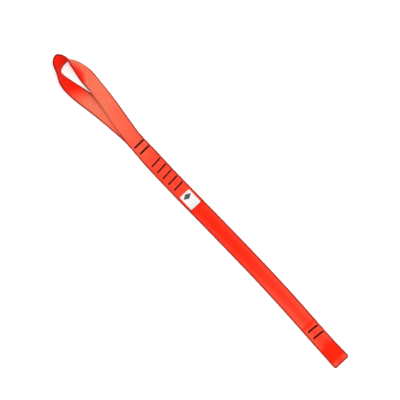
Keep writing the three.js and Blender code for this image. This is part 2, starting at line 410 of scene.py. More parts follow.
@dataclass
class Course:
    """Where the flat stretches of webbing lie: their bow and width, and how the tacks and the pillow shape them.

    Attributes:
        webbing: the make of the webbing.
        width: the webbing's width where it lies free.
        neck_width: its width where it is gathered at the neck.
        eye_width: its width at the small eye's end.
        gap: the space between two plies.
        tacks: the bar tacks.
        pillow_height: how far the strap's front ply stands up between its ends.
    """

    webbing: Cloth
    width: float
    neck_width: float
    eye_width: float
    gap: float
    tacks: list[Tack]
    pillow_height: float = 1.5 * MM
    bow_line: Array = field(init=False)

    def __post_init__(self) -> None:
        """Draws the strap's sideways bow through a few places along it."""
        places = [(-140, 0.9), (-75, -0.2), (0, 0.8), (70, 2.0), (140, 2.5), (204, 1.5), (256, -0.1), (302, -0.6)]
        self.bow_line = spline([(x * MM, y * MM) for x, y in places], 200)

    def bow(self, x: Array | float) -> Array:
        """How far the strap's middle line lies from y = 0."""
        return np.interp(x, self.bow_line[:, 0], self.bow_line[:, 1])

    def gathered(self, x: Array | float) -> Array:
        """The webbing's width where it narrows to the neck."""
        return self.neck_width + (self.width - self.neck_width) * smoothstep(x, -132 * MM, -95 * MM)

    def width_at(self, x: Array) -> Array:
        """The webbing's width: gathered at the neck and at each tack, and spread at the small eye's end."""
        gathered = self.gathered(x)
        spread = smoothstep(x, 275 * MM, 300 * MM)
        width = gathered + (self.eye_width - gathered) * spread
        grip = sum(bump(x, tack.x, 2.2 * MM) for tack in self.tacks)
        return width - 0.45 * MM * np.clip(grip, 0.0, 1.0)

    def level_height(self, level: Level) -> float:
        """The height of a level ply's middle."""
        return self.webbing.thickness / 2.0 + level.value * (self.webbing.thickness + self.gap)

    def grip(self, x: Array, y: Array, spread: float = 1.7 * MM) -> Array:
        """How strongly the tacks together pull the plies down."""
        return np.clip(sum(tack.share(x, y, spread) for tack in self.tacks), 0.0, 1.0)

    def pinch(self, x: Array, y: Array) -> Array:
        """The share of its thickness that a ply keeps under the tacks."""
        return 1.0 - 0.28 * self.grip(x, y)

    def painted_sheen(self, x: Array, y: Array) -> Array:
        """How much painted sheen the cloth gets, a paler colour standing in for the light's gleam: most at the
        neck, and least along the free strap's middle.
        """
        places = [-150, -125, -105, -95, -80, -10, 0, 30, 80, 150, 200, 226, 229, 234, 258, 270]
        shares = [0.68, 0.56, 0.48, 0.33, 0.25, 0.24, 0.04, 0.02, 0.04, 0.13, 0.15, 0.19, 0.00, 0.24, 0.20, 0.08]
        across = y - self.bow(x)
        on_strap = smoothstep(x, -6 * MM, 12 * MM)
        side = 0.13 * on_strap * smoothstep(np.abs(across), 3.0 * MM, 8.5 * MM)
        low_side = smoothstep(x, 120 * MM, 165 * MM) * (1.0 - smoothstep(x, 224 * MM, 229 * MM))
        low_side = 0.12 * low_side * smoothstep(-across, 3.0 * MM, 7.0 * MM)
        # Painted highlights: two pale streaks along the pillow's ridges.
        streaks = 0.09 * bump(across, -3.6 * MM, 1.7 * MM) + 0.08 * bump(across, 5.6 * MM, 1.6 * MM)
        streaks = streaks * smoothstep(x, 140 * MM, 185 * MM) * (1.0 - smoothstep(x, 222 * MM, 229 * MM))
        near_tacks = np.clip(sum(tack.share(x, y, 4.0 * MM) for tack in self.tacks), 0.0, 1.0)
        return np.interp(x, np.array(places) * MM, shares) + side + low_side + streaks + 0.08 * near_tacks

    def sag(self, level: Level) -> Callable[[Array, Array], Array]:
        """Gives the shift of one level's plies: pulled down at each tack, and proud between two tacks."""
        pull = 0.34 * MM * level.value
        swell = 0.22 * MM * level.value

        def shift(x: Array, y: Array) -> Array:
            """The shift at x and y."""
            near = np.clip(sum(tack.share(x, y, 6.5 * MM) for tack in self.tacks), 0.0, 1.0)
            tight = self.grip(x, y)
            return -pull * tight + swell * near * (1.0 - tight)

        return shift

    def folded(self, on_front: Array) -> Callable[[Array, Array], Array]:
        """Gives the shift of a strip that runs out as the back ply, round an eye, and home as the front ply.

        Args:
            on_front: which of its stations lie past the eye's tip.

        Returns:
            A function of x and y.
        """
        back_sag, front_sag = self.sag(Level.BACK), self.sag(Level.MIDDLE)
        return lambda x, y: np.where(on_front, front_sag(x, y), back_sag(x, y))

    def pillow(self, start: float, end: float) -> Callable[[Array, Array], Array]:
        """Gives the shift of the strap's front ply, which is a tube that isn't pressed quite flat.

        Two soft ridges run along it with a dish between them. It ends square, with round corners, before the tail.

        Args:
            start: where it starts to rise.
            end: where it is flat again.

        Returns:
            A function of x and y.
        """
        tacked = self.sag(Level.MIDDLE)

        def shift(x: Array, y: Array) -> Array:
            """The shift at x and y."""
            share = (y - self.bow(x)) / self.width
            corner = 3.0 * MM * (2.0 * np.abs(share)) ** 4
            drop = smoothstep(x, end - corner - 2.6 * MM, end - corner)
            rise = smoothstep(x, start, end - 50 * MM) * (1.0 - drop)
            rise = np.maximum(rise, 0.35 * smoothstep(x, start, start + 40 * MM) * (x < end - 20 * MM))
            body = np.clip(1.0 - (2.25 * np.abs(share)) ** 6, 0.0, 1.0)
            drift = 0.03 * np.sin(x / (23 * MM)) + 0.015 * np.sin(x / (7 * MM) + 1.0)
            ridges = bump(share, 0.27 + drift, 0.10) + 0.9 * bump(share, -0.15 + 0.7 * drift, 0.09)
            return self.pillow_height * rise * body * (0.42 + 0.45 * ridges) + tacked(x, y)

        return shift

    def ply(
        self,
        start: float,
        end: float,
        height: Callable[[Array], Array],
        shift: Callable[[Array, Array], Array],
        step: float = 0.9 * MM,
    ) -> Band:
        """A flat stretch of webbing from one place along the strap to another.

        Args:
            start: its big-eye end.
            end: its small-eye end.
            height: gives the height of its middle along the strap.
            shift: gives how far it is moved from there.
            step: from one station to the next.

        Returns:
            The band, not yet a mesh.
        """
        x = np.linspace(start, end, int(math.ceil((end - start) / step)) + 1)
        half = self.width_at(x) / 2.0
        z = height(x)
        lower = np.stack([x, self.bow(x) - half, z], axis=1)
        upper = np.stack([x, self.bow(x) + half, z], axis=1)
        made = Band(lower, upper, self.webbing, start=start, shift=shift, pinch=self.pinch, painted_sheen=self.painted_sheen)
        # Painted shade: a dark line across the strip at the pillow's square end.
        made.crease_shade = lambda x, y: 0.3 * bump(x, 228.3 * MM, 1.3 * MM)
        return made

    def level(self, level: Level) -> Callable[[Array], Array]:
        """Gives the height of a ply that lies level all along."""
        return lambda x: np.full_like(x, self.level_height(level))


# ---------------------------------------------------------------- finishes


class Nodes:
    """A node tree being built: adds nodes, sets their sockets and links them."""

    def __init__(self, tree: bpy.types.NodeTree) -> None:
        """Takes the tree to build in."""
        self.tree = tree

    def add(self, kind: str, settings: dict | None = None, inputs: dict | None = None) -> bpy.types.Node:
        """Adds a node.

        Args:
            kind: the node's type.
            settings: its properties.
            inputs: values or output sockets for its inputs, by name or number.

        Returns:
            The node.
        """
        node = self.tree.nodes.new(kind)
        for name, value in (settings or {}).items():
            setattr(node, name, value)
        for name, value in (inputs or {}).items():
            if isinstance(value, bpy.types.NodeSocket):
                self.tree.links.new(value, node.inputs[name])
            else:
                node.inputs[name].default_value = value
        return node

    def sum(self, operation: str, *terms: object, clamp: bool = False) -> bpy.types.NodeSocket:
        """A Math node's result."""
        inputs = dict(enumerate(terms))
        return self.add("ShaderNodeMath", {"operation": operation, "use_clamp": clamp}, inputs).outputs[0]

    def mix(self, factor: object, first: object, second: object, blend: str = "MIX") -> bpy.types.NodeSocket:
        """Two colours mixed by a factor."""
        settings = {"data_type": "RGBA", "blend_type": blend}
        node = self.add("ShaderNodeMix", settings, {0: factor, 6: first, 7: second})
        return node.outputs[2]

    def spread(
        self, value: object, low: float, high: float, to_low: float, to_high: float
    ) -> bpy.types.NodeSocket:
        """A value carried smoothly from one range to another."""
        inputs = {0: value, 1: low, 2: high, 3: to_low, 4: to_high}
        return self.add("ShaderNodeMapRange", {"interpolation_type": "SMOOTHSTEP"}, inputs).outputs[0]

    def noise(self, vector: bpy.types.NodeSocket, scale: float, detail: float = 3.0) -> bpy.types.NodeSocket:
        """A noise from 0 to 1."""
        inputs = {"Vector": vector, "Scale": scale, "Detail": detail}
        return self.add("ShaderNodeTexNoise", None, inputs).outputs[0]


def new_group(name: str, takes: dict[str, str], gives: dict[str, str]) -> tuple[bpy.types.NodeTree, Nodes]:
    """Starts a shared node group.

    Args:
        name: the group's name.
        takes: its inputs' names and socket types.
        gives: its outputs' names and socket types.

    Returns:
        The group and a builder for it.
    """
    group = bpy.data.node_groups.new(name, "ShaderNodeTree")
    for label, kind in takes.items():
        group.interface.new_socket(name=label, in_out="INPUT", socket_type=kind)
    for label, kind in gives.items():
        group.interface.new_socket(name=label, in_out="OUTPUT", socket_type=kind)
    return group, Nodes(group)


def weave_group() -> bpy.types.NodeTree:
    """Plain weave: yarns along the cloth pass over and under yarns across it, in alternate squares.

    A yarn's height is |sin| across it times the root of |sin| along its float, offset by half from yarn to yarn.

    Returns:
        A group with inputs Vector, Along and Across, both in threads a metre, and outputs Height and Groove.
    """
    takes = {"Vector": "NodeSocketVector", "Along": "NodeSocketFloat", "Across": "NodeSocketFloat"}
    group, nodes = new_group("Weave", takes, {"Height": "NodeSocketFloat", "Groove": "NodeSocketFloat"})
    given = nodes.add("NodeGroupInput").outputs
    axes = nodes.add("ShaderNodeSeparateXYZ", None, {0: given["Vector"]}).outputs
    along = nodes.sum("MULTIPLY", axes[0], given["Along"])
    across = nodes.sum("MULTIPLY", axes[1], given["Across"])
    offset = nodes.sum("MULTIPLY", nodes.sum("FLOOR", across), 0.5)
    staggered = nodes.sum("ADD", along, offset)
    ridge = nodes.sum("ABSOLUTE", nodes.sum("SINE", nodes.sum("MULTIPLY", across, math.pi)))
    float_over = nodes.sum("ABSOLUTE", nodes.sum("SINE", nodes.sum("MULTIPLY", staggered, math.pi)))
    height = nodes.sum("MULTIPLY", nodes.sum("POWER", ridge, 0.7), nodes.sum("POWER", float_over, 0.45))
    groove = nodes.sum("SUBTRACT", 1.0, nodes.sum("POWER", height, 0.6), clamp=True)
    nodes.add("NodeGroupOutput", None, {"Height": height, "Groove": groove})
    return group


def wear_group() -> bpy.types.NodeTree:
    """Uneven handling: a broad cloud of patches crossed with fine fuzz.

    Returns:
        A group with inputs Vector and Amount, and outputs Patches and Fuzz.
    """
    takes = {"Vector": "NodeSocketVector", "Amount": "NodeSocketFloat"}
    group, nodes = new_group("Wear", takes, {"Patches": "NodeSocketFloat", "Fuzz": "NodeSocketFloat"})
    given = nodes.add("NodeGroupInput").outputs
    broad = nodes.noise(given["Vector"], 26.0, 4.0)
    fine = nodes.noise(given["Vector"], 1400.0, 2.0)
    patches = nodes.sum("MULTIPLY", nodes.spread(broad, 0.35, 0.7, 0.0, 1.0), given["Amount"])
    fuzz = nodes.sum("MULTIPLY", nodes.spread(fine, 0.3, 0.75, 0.0, 1.0), given["Amount"])
    nodes.add("NodeGroupOutput", None, {"Patches": patches, "Fuzz": fuzz})
    return group


WEAVE = weave_group()
WEAR = wear_group()


def new_material(name: str, fixed: dict[str, float]) -> tuple[bpy.types.Material, Nodes, bpy.types.Node]:
    """Starts a material whose Principled sockets that don't vary are set directly.

    Args:
        name: the material's name.
        fixed: values for those sockets.

    Returns:
        The material, a builder for its tree, and its Principled BSDF.
    """
    material = bpy.data.materials.new(name)
    material.use_nodes = True
    nodes = Nodes(material.node_tree)
    shader = material.node_tree.nodes["Principled BSDF"]
    for socket, value in fixed.items():
        shader.inputs[socket].default_value = value
    return material, nodes, shader


def woven(nodes: Nodes, vector: bpy.types.NodeSocket, along: float, across: float) -> tuple[object, object]:
    """Places both shared groups on one set of coordinates.

    Args:
        nodes: the material's builder.
        vector: the coordinates.
        along: threads a metre along the cloth.
        across: threads a metre across it.

    Returns:
        The weave's outputs and the wear's outputs.
    """
    counts = {"Vector": vector, "Along": along, "Across": across}
    weave = nodes.add("ShaderNodeGroup", {"node_tree": WEAVE}, counts).outputs
    wear = nodes.add("ShaderNodeGroup", {"node_tree": WEAR}, {"Vector": vector, "Amount": 1.0}).outputs
    return weave, wear


def link_surface(
    nodes: Nodes,
    shader: bpy.types.Node,
    colour: object,
    rough: object,
    relief: object,
    strength: float,
    depth: float,
) -> None:
    """Links what varies over a surface to its shader.

    Args:
        nodes: the material's builder.
        shader: its Principled BSDF.
        colour: the base colour.
        rough: the roughness.
        relief: the height that the bump is made from.
        strength: the bump's strength.
        depth: how deep the relief is, in metres.
    """
    raised = nodes.add("ShaderNodeBump", None, {"Strength": strength, "Distance": depth, "Height": relief})
    for socket, source in (("Base Color", colour), ("Roughness", rough), ("Normal", raised.outputs[0])):
        nodes.tree.links.new(source, shader.inputs[socket])


@dataclass(frozen=True)
class WebbingFinish:
    """Orange-red tubular webbing.

    Attributes:
        colour: the dyed yarn, seen square on.
        painted_sheen: the paler colour of the painted sheen, which stands in for the light's gleam on the cloth.
        edge_shade: the darker colour of the painted shade along the edges, folds and creases.
        melted: a hot-cut end.
        groove: the shade between yarns.
        yarns_along: floats a metre along the webbing.
        yarns_across: yarns a metre across it.
    """

    colour: tuple[float, ...] = (0.78, 0.0105, 0.0004, 1.0)
    painted_sheen: tuple[float, ...] = (0.61, 0.134, 0.072, 1.0)
    edge_shade: tuple[float, ...] = (0.150, 0.010, 0.006, 1.0)
    melted: tuple[float, ...] = (0.22, 0.006, 0.002, 1.0)
    groove: tuple[float, ...] = (0.26, 0.003, 0.001, 1.0)
    yarns_along: float = 720.0
    yarns_across: float = 1500.0

    def build(self) -> bpy.types.Material:
        """Makes the material."""
        fixed = {"Specular IOR Level": 0.06, "Sheen Weight": 0.05, "Sheen Roughness": 0.5}
        fixed["Sheen Tint"] = (1.0, 0.55, 0.42, 1.0)
        material, nodes, shader = new_material("orange_webbing", fixed)
        strip = nodes.add("ShaderNodeUVMap", {"uv_map": "strip"}).outputs[0]
        weave, wear = woven(nodes, strip, self.yarns_along, self.yarns_across)
        edge, sealed, painted_sheen = (
            nodes.add("ShaderNodeAttribute", {"attribute_name": name}).outputs["Fac"]
            for name in ("edge_shade", "sealed", "painted_sheen")
        )
        # Painted sheen: the dye turns paler where the cloth would catch the light, varied at random by the wear
        # patches.
        pale = nodes.sum("MULTIPLY", painted_sheen, nodes.sum("ADD", 0.75, nodes.sum("MULTIPLY", wear["Patches"], 0.25)))
        yarn = nodes.mix(pale, self.colour, self.painted_sheen)
        shaded = nodes.mix(nodes.sum("MULTIPLY", weave["Groove"], 0.45), yarn, self.groove)
        # Painted shade along the edges, folds and creases.
        edged = nodes.mix(nodes.sum("MULTIPLY", edge, 0.85), shaded, self.edge_shade)
        colour = nodes.mix(sealed, edged, self.melted)
        smooth = nodes.spread(painted_sheen, 0.0, 1.0, 0.72, 0.46)
        rough = nodes.sum("ADD", smooth, nodes.sum("MULTIPLY", wear["Fuzz"], 0.12))
        gloss = nodes.sum("SUBTRACT", rough, nodes.sum("MULTIPLY", sealed, 0.25))
        height = nodes.sum("ADD", weave["Height"], nodes.sum("MULTIPLY", wear["Fuzz"], 0.18))
        relief = nodes.sum("MULTIPLY", height, nodes.sum("SUBTRACT", 1.0, sealed))
        link_surface(nodes, shader, colour, gloss, relief, strength=0.55, depth=0.22 * MM)
        return material


@dataclass(frozen=True)
class ThreadFinish:
    """Bonded sewing thread.

    Attributes:
        name: the material's name.
        colour: the thread's colour.
        shade: its colour between the plies of the twist.
    """

    name: str
    colour: tuple[float, ...]
    shade: tuple[float, ...]

    def build(self) -> bpy.types.Material:
        """Makes the material: fine twisted plies along the thread's own UV map."""
        material, nodes, shader = new_material(self.name, {"Specular IOR Level": 0.06, "Sheen Weight": 0.0})
        along = nodes.add("ShaderNodeUVMap", {"uv_map": "thread"}).outputs[0]
        turned = nodes.add("ShaderNodeMapping", None, {"Vector": along, "Rotation": (0.0, 0.0, 0.7)}).outputs[0]
        counts = {"Vector": turned, "Along": 260.0, "Across": 4200.0}
        twist = nodes.add("ShaderNodeGroup", {"node_tree": WEAVE}, counts).outputs
        wear = nodes.add("ShaderNodeGroup", {"node_tree": WEAR}, {"Vector": along, "Amount": 1.0}).outputs
        colour = nodes.mix(twist["Groove"], self.colour, self.shade)
        rough = nodes.sum("ADD", 0.55, nodes.sum("MULTIPLY", wear["Fuzz"], 0.2))
        link_surface(nodes, shader, colour, rough, twist["Height"], strength=0.5, depth=0.06 * MM)
        return material


@dataclass(frozen=True)
class TagFinish:
    """A smooth woven tag, or the ink printed on it.

    Attributes:
        name: the material's name.
        colour: its colour.
        shade: its colour between the yarns.
        roughness: its mean roughness.
    """

    name: str
    colour: tuple[float, ...]
    shade: tuple[float, ...]
    roughness: float

    def build(self) -> bpy.types.Material:
        """Makes the material."""
        material, nodes, shader = new_material(self.name, {"Specular IOR Level": 0.2, "Sheen Weight": 0.02})
        place = nodes.add("ShaderNodeTexCoord").outputs["Object"]
        weave, wear = woven(nodes, place, 3200.0, 2600.0)
        grooves = nodes.sum("MULTIPLY", weave["Groove"], 0.5)
        # Painted shade in the grooves between yarns, with soiled patches.
        groove_shade_and_soil = nodes.sum("ADD", grooves, nodes.sum("MULTIPLY", wear["Patches"], 0.25))
        colour = nodes.mix(groove_shade_and_soil, self.colour, self.shade)
        rough = nodes.sum("ADD", self.roughness, nodes.sum("MULTIPLY", wear["Fuzz"], 0.1))
        link_surface(nodes, shader, colour, rough, weave["Height"], strength=0.35, depth=0.05 * MM)
        return material


# ---------------------------------------------------------------- the sling's pieces


def dress(piece: bpy.types.Object, material: bpy.types.Material) -> bpy.types.Object:
    """Gives a piece its material."""
    piece.data.materials.append(material)
    return piece


@dataclass
class WebbingMaker:
    """Makes lengths of the webbing strip: the mesh and its finish, logs its length, and attaches a fixed length to
    the body that it follows.

    Attributes:
        course: where the webbing lies.
        material: the webbing's finish.
    """

    course: Course
    material: bpy.types.Material

    def length_of(self, name: str, band: Band, replaced: Sequence[str]) -> bpy.types.Object:
        """Builds one length, which lies as it is laid down, and logs its length of webbing."""
        piece = dress(band.build(name), self.material)
        band.length()
        if replaced:
            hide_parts(*replaced)
        log.info("%s: %.1f mm of webbing", name, band.length() / MM)
        return piece

    def fixed(self, name: str, band: Band, body: str, replaced: Sequence[str] = ()) -> bpy.types.Object:
        """A length that stays with one body."""
        piece = self.length_of(name, band, replaced)
        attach(piece, body)
        return piece

    def bending(
        self,
        name: str,
        band: Band,
        joint: str,
        bodies: tuple[str, str],
        reach: tuple[float, float],
        replaced: Sequence[str] = (),
    ) -> bpy.types.Object:
        """A length that spans one joint, with its transform baked into its mesh.

        Args:
            name: the piece's name.
            band: its shape at rest.
            joint: the joint that it spans; not used.
            bodies: the body at its big-eye end and the one at its small-eye end; not used.
            reach: how far the bend spreads from the joint to the big-eye end and to the small-eye end; not used.
            replaced: the CAD nodes that it stands for.

        Returns:
            The piece.
        """
        piece = self.length_of(name, band, replaced)
        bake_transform(piece)
        return piece


@dataclass
class BigEye:
    """The long open eye: the back ply runs out from the neck, round the tip and back as the front ply.

    Both legs lie flat at the neck and roll on the way out. The tip stands on the strip's lower edge and leans
    outward, and the front leg crosses over the back one. The places on the two edges match, and each pair is the
    webbing's width apart: 23 to 24 mm where it is gathered near the neck, and 26 mm round the tip.

    Attributes:
        maker: makes the webbing.
        neck_end: where the loop's two ends meet the neck's plies, butt to butt.
        twist_reach: how far the twist spreads from its joint, out along the eye and in to the first bar tack.
    """

    maker: WebbingMaker
    neck_end: float
    twist_reach: tuple[float, float] = (29.0 * MM, 9.2 * MM)
    lower_places: tuple = (
        (-164, 10.6, 1.1),
        (-196, 6.2, 1.2),
        (-228.6, 0.2, 1.2),
        (-250, -4.9, 1),
        (-266, -8.8, 0.7),
        (-275.6, -9.8, 0.45),
        (-279.4, -5.2, 0.7),
        (-281.1, 0.4, 0.9),
        (-281.2, 5.8, 0.75),
        (-280, 11.2, 0.45),
        (-274, 16.8, 0.55),
        (-263, 21.3, 0.8),
        (-248, 24, 1.05),
        (-228, 23, 1.15),
        (-198, 20.6, 1.4),
        (-164, 16.2, 3.2),
    )
    upper_places: tuple = (
        (-164, -13.6, 1.1),
        (-196, -17.2, 5),
        (-228.6, -22.4, 9.9),
        (-250, -24, 17),
        (-266, -21.4, 22.9),
        (-279.6, -14.3, 25.4),
        (-292.4, -9.2, 22.7),
        (-299, 0.4, 19.7),
        (-295.2, 6.6, 22.6),
        (-286.6, 9.8, 25.5),
        (-275, 7.6, 24.7),
        (-263.5, 5.4, 21),
        (-248, 2.4, 13.6),
        (-228, 1.6, 10.6),
        (-198, -1.9, 6.8),
        (-164, -7.4, 4.6),
    )

    def edges(self) -> tuple[Array, Array]:
        """Draws the loop's two edges, neck to neck, through their places and the flat stretch at each end.

        Returns:
            The lower and the upper edge, matched point to point.
        """
        course = self.maker.course
        lower = [tuple(MM * value for value in place) for place in self.lower_places]
        upper = [tuple(MM * value for value in place) for place in self.upper_places]
        for level, at in ((Level.BACK, 0), (Level.MIDDLE, len(lower) + 3)):
            for n, x in enumerate((self.neck_end, -127.5 * MM, -138.0 * MM)):
                half = float(course.gathered(x)) / 2.0
                z = course.level_height(level)
                place = at + n if level is Level.BACK else at
                lower.insert(place, (x, float(course.bow(x)) + half, z))
                upper.insert(place, (x, float(course.bow(x)) - half, z))
        fine = 60 * len(lower)
        return spline(lower, fine), spline(upper, fine)

    def band(self) -> Band:
        """The loop's shape."""
        course = self.maker.course
        low, high = self.edges()
        _, lower, upper = even((low + high) / 2.0, low, high, step=1.0 * MM)
        middle = (lower + upper) / 2.0
        narrowed = 1.0 - 0.45 * MM / course.width * course.grip(middle[:, 0], middle[:, 1], 2.2 * MM)[:, None]
        lower = middle + (lower - middle) * narrowed
        upper = middle + (upper - middle) * narrowed
        on_front = (np.arange(len(middle)) > int(np.argmin(middle[:, 0])))[:, None]

        def painted_sheen(x: Array, y: Array) -> Array:
            """Painted sheen: pale where a leg lies flat, and deep in colour where it rolls up to the tip and turns
            from the light.
            """
            flat = course.painted_sheen(x, y) + 0.34 * smoothstep(-x, 145 * MM, 200 * MM)
            back = flat * (1.0 - smoothstep(-x + 0.5 * y, 213 * MM, 243 * MM))
            near = y - 7.6 * MM + 0.155 * (x + 275 * MM)
            places = [-300, -285, -272, -262, -252, -244, -236, -226]
            deep = [2.0, 2.0, 4.5, 8.5, 8.5, 4.5, -1.5, -8.0]
            reach = np.interp(x, np.array(places) * MM, np.array(deep) * MM)
            front = flat * smoothstep(near - reach, -4.5 * MM, 4.5 * MM)
            return np.where(on_front, front, back)

        def less_edge_shade(x: Array, y: Array) -> Array:
            """Less painted shade on the front leg's edge where that edge lies over the back leg."""
            over = on_front & (y < middle[:, 1:2])
            there = smoothstep(x, -236 * MM, -220 * MM) * (1.0 - smoothstep(x, -168 * MM, -142 * MM))
            return np.where(over, 0.7 * there, 0.0)

        made = Band(lower, upper, course.webbing, start=self.neck_end, pinch=course.pinch, painted_sheen=painted_sheen)
        made.shift = course.folded(on_front)
        made.less_edge_shade = less_edge_shade
        return made

    def build(self) -> list[bpy.types.Object]:
        """Makes the loop."""
        name, joint, nodes = "big_eye_webbing", "big_eye_twist", ["big_eye_loop"]
        return [self.maker.bending(name, self.band(), joint, ("big_eye", "neck"), self.twist_reach, nodes)]


@dataclass
class Splice:
    """The neck and the splice: the strip's top end lies over its lap end, and the back ply runs on under both.

    Attributes:
        maker: makes the webbing.
        neck_end: where the plies meet the big eye's loop.
        bend_end: where the lengths that bend at the neck meet the fixed ones.
        strap_start: where the splice meets the strap.
        bend_reach: how far the neck's bend spreads from its joint, to each side.
    """

    maker: WebbingMaker
    neck_end: float
    bend_end: float
    strap_start: float
    bend_reach: tuple[float, float] = (7.0 * MM, 7.0 * MM)

    def step_height(self, x: Array) -> Array:
        """The top end's height: it steps down past the end of the lap to meet the neck's front ply."""
        course = self.maker.course
        down, up = course.level_height(Level.MIDDLE), course.level_height(Level.TOP)
        return down + (up - down) * smoothstep(x, -103.5 * MM, -94.5 * MM)

    def build(self) -> list[bpy.types.Object]:
        """Makes the plies of the neck and the splice."""
        course, maker = self.maker.course, self.maker
        lap_low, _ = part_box("splice_lap_ply")
        _, top_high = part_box("splice_front_ply")
        bodies = ("neck", "splice")
        back = course.level(Level.BACK)
        top_sag, middle_sag = course.sag(Level.TOP), course.sag(Level.MIDDLE)

        def step_sag(x: Array, y: Array) -> Array:
            """Like the front ply at the neck, and like the top one on the splice."""
            share = smoothstep(x, -103.5 * MM, -94.5 * MM)
            return middle_sag(x, y) * (1.0 - share) + top_sag(x, y) * share

        neck_back = course.ply(self.neck_end, self.bend_end, back, course.sag(Level.BACK), 0.6 * MM)
        neck_front = course.ply(self.neck_end, self.bend_end, self.step_height, step_sag, 0.6 * MM)
        top = course.ply(self.bend_end, top_high.x, course.level(Level.TOP), top_sag)
        top.cuts = (False, True)
        lap = course.ply(lap_low.x, self.strap_start, course.level(Level.MIDDLE), middle_sag)
        lap.cuts = (True, False)
        under = course.ply(self.bend_end, self.strap_start, back, course.sag(Level.BACK))
        reach = self.bend_reach
        return [
            maker.bending("neck_back_webbing", neck_back, "neck_bend", bodies, reach, ["neck_back_ply"]),
            maker.bending("neck_front_webbing", neck_front, "neck_bend", bodies, reach, ["neck_front_ply"]),
            maker.fixed("splice_top_end", top, "splice", ["splice_front_ply"]),
            maker.fixed("splice_lap_end", lap, "splice", ["splice_lap_ply"]),
            maker.fixed("splice_back_webbing", under, "splice", ["splice_back_ply"]),
        ]


@dataclass
class Strap:
    """The free strap: two plies, in lengths that each span one joint.

    Attributes:
        maker: makes the webbing.
        ends: where the lengths meet, from the splice to the tail.
        pillow: where the front ply's pillow starts and ends.
        reach: how far each bend spreads from its joint, to each side.
    """

    maker: WebbingMaker
    ends: tuple[float, ...]
    pillow: tuple[float, float]
    reach: tuple[float, float] = (9.0 * MM, 9.0 * MM)

    def build(self) -> list[bpy.types.Object]:
        """Makes both plies of each length."""
        course = self.maker.course
        lengths = (
            ("upper", ("splice", "strap_upper"), "strap_upper"),
            ("middle", ("strap_upper", "strap_lower"), None),
            ("lower", ("strap_lower", "tail"), "strap_lower"),
        )
        plies = (
            ("back", Level.BACK, course.sag(Level.BACK)),
            ("front", Level.MIDDLE, course.pillow(*self.pillow)),
        )
        made = []
        for (name, bodies, owner), start, end in zip(lengths, self.ends, self.ends[1:]):
            joint = f"strap_bend_{name}"
            for side, level, shift in plies:
                band = course.ply(start, end, course.level(level), shift)
                replaced = [f"{owner}_{side}_ply"] if owner else []
                title = f"strap_{name}_{side}_webbing"
                made.append(self.maker.bending(title, band, joint, bodies, self.reach, replaced))
        return made


@dataclass
class SmallEye:
    """The tail and the small eye: the back ply runs out to a half turn, and comes back as the front ply.

    Attributes:
        maker: makes the webbing.
        start: where both plies meet the strap.
        reach: how far the bend spreads from its joint, to each side.
        corner: the radius of the eye's two outer corners in plan.
    """

    maker: WebbingMaker
    start: float
    reach: tuple[float, float] = (7.0 * MM, 7.0 * MM)
    corner: float = 4.0 * MM

    def line(self) -> Array:
        """The strip's middle line in x and z: level, a half turn, and an S back down to the front ply."""
        course = self.maker.course
        _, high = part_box("small_eye_loop")
        half = course.webbing.thickness / 2.0
        back, front = course.level_height(Level.BACK), course.level_height(Level.MIDDLE)
        radius = (high.z - 2.0 * half) / 2.0 - 0.3 * MM
        turn_x = high.x - half - radius
        bend = joint_place("small_eye_bend").x
        out = np.linspace(self.start, turn_x, 80, endpoint=False)
        angle = np.linspace(-math.pi / 2.0, math.pi / 2.0, 40)
        home = np.linspace(turn_x, self.start, 80)[1:]
        fall = back + 2.0 * radius - front
        home_z = front + fall * smoothstep(home, bend + 1.0 * MM, turn_x - 5.0 * MM)
        x = np.concatenate([out, turn_x + radius * np.cos(angle), home])
        z = np.concatenate([np.full_like(out, back), back + radius * (1.0 + np.sin(angle)), home_z])
        return np.stack([x, z], axis=1)

    def band(self) -> Band:
        """The tail's and the eye's shape."""
        course = self.maker.course
        (line,) = even(self.line(), step=0.8 * MM)
        x, z = line.T
        _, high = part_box("small_eye_loop")
        inset = np.clip((x - (high.x - self.corner)) / self.corner, 0.0, 1.0)
        half = course.width_at(x) / 2.0 - self.corner * (1.0 - np.sqrt(1.0 - inset**2)) * 0.9
        lower = np.stack([x, course.bow(x) - half, z], axis=1)
        upper = np.stack([x, course.bow(x) + half, z], axis=1)
        on_front = (np.arange(len(x)) > int(np.argmax(x)))[:, None]

        def inset_at(at_y: Array) -> Array:
            """How far the fold's end draws back at y, round the two corners."""
            past = np.clip((np.abs(at_y) - course.eye_width / 2.0 + self.corner) / self.corner, 0.0, 1.0)
            return self.corner * (1.0 - np.sqrt(1.0 - past**2))

        def painted_sheen(at_x: Array, at_y: Array) -> Array:
            """Painted sheen: deep in colour up the slope of the eye, and pale again over its end, most at the two
            corners.
            """
            slope = smoothstep(at_x - 0.35 * np.abs(at_y), 260 * MM, 269 * MM)
            corners = 0.18 + 0.26 * smoothstep(np.abs(at_y), 2 * MM, 8 * MM)
            over_end = smoothstep(at_x, 290.5 * MM, 295.0 * MM) * corners
            return course.painted_sheen(at_x, at_y) * (1.0 - slope) + over_end

        def crease_shade(at_x: Array, at_y: Array) -> Array:
            """Painted shade: dark round the fold at the very end, where the cloth turns away from the light."""
            return smoothstep(at_x + inset_at(at_y), high.x - 3.0 * MM, high.x - 1.2 * MM)

        made = Band(lower, upper, course.webbing, start=self.start, pinch=course.pinch, painted_sheen=painted_sheen)
        made.shift = course.folded(on_front)
        made.crease_shade = crease_shade
        return made

    def build(self) -> list[bpy.types.Object]:
        """Makes the tail and the eye."""
        nodes = ["tail_back_ply", "tail_front_ply", "small_eye_loop"]
        name, joint = "small_eye_webbing", "small_eye_bend"
        return [self.maker.bending(name, self.band(), joint, ("tail", "small_eye"), self.reach, nodes)]


# ---------------------------------------------------------------- sewing


